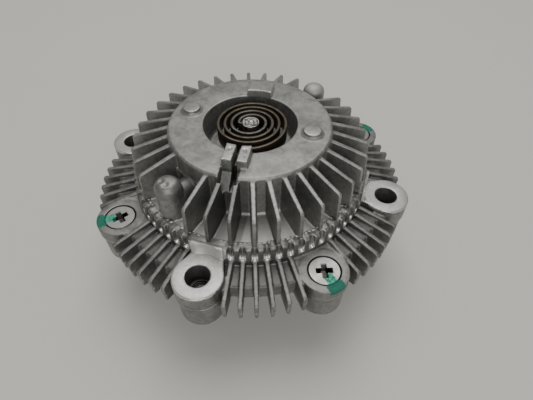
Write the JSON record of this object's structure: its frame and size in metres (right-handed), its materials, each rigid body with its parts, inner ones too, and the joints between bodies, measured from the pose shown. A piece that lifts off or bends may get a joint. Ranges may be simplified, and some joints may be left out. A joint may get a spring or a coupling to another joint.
{
  "type": "viscous fan clutch",
  "caption": "Finned viscous fan clutch: a drive flange and rotor turn inside a die-cast housing that carries the fan, and a bimetal coil turns a valve that feeds the fluid.",
  "frame": {"origin": "centre of the drive flange's back face, on the axis of rotation", "axes": "+Z along the axis of rotation, from the drive flange to the finned cover; +X through one fan bolt hole"},
  "size_m": [0.1388, 0.1388, 0.0731],
  "materials": {
    "cast_aluminium": "as-cast, satin",
    "machined_aluminium": "turned",
    "forged_steel": "machined",
    "bearing_steel": "ground",
    "zinc_steel": "zinc plated",
    "spring_steel": "blackened",
    "bimetal": "rolled strip, browned",
    "cage_brass": "stamped",
    "seal_rubber": "matte"
  },
  "bodies": {
    "drive": {"drive_shaft": "forged_steel", "bearing_inner_ring": "bearing_steel", "rotor": "machined_aluminium", "rotor_snap_ring": "spring_steel"},
    "ball_set": {"bearing_balls": "bearing_steel", "bearing_cage": "cage_brass"},
    "housing": {"rear_housing": "cast_aluminium", "front_housing": "cast_aluminium", "front_cover": "cast_aluminium", "housing_o_ring": "seal_rubber", "cover_o_ring": "seal_rubber", "partition_plate": "zinc_steel", "bearing_outer_ring": "bearing_steel", "bearing_front_seal": "seal_rubber", "bearing_rear_seal": "seal_rubber", "bearing_snap_ring": "spring_steel", "cover_screws": "zinc_steel", "bimetal_coil": "bimetal"},
    "valve": {"valve_shaft": "zinc_steel", "valve_arm": "zinc_steel", "valve_shaft_o_ring": "seal_rubber"}
  },
  "joints": [
    {"name": "housing_spin", "type": "hinge", "parent": "drive", "child": "housing", "pos_m": [0, 0, 0.02], "axis": [0, 0, 1], "continuous": true},
    {"name": "ball_orbit", "type": "hinge", "parent": "drive", "child": "ball_set", "pos_m": [0, 0, 0.02], "axis": [0, 0, 1], "continuous": true},
    {"name": "valve_turn", "type": "hinge", "parent": "housing", "child": "valve", "pos_m": [0, 0, 0.055], "axis": [0, 0, 1], "range_deg": [0, 35], "deforming": ["bimetal_coil"]}
  ],
  "couplings": [
    {"joint": "ball_orbit", "follows": "housing_spin", "ratio": 0.6183}
  ]
}
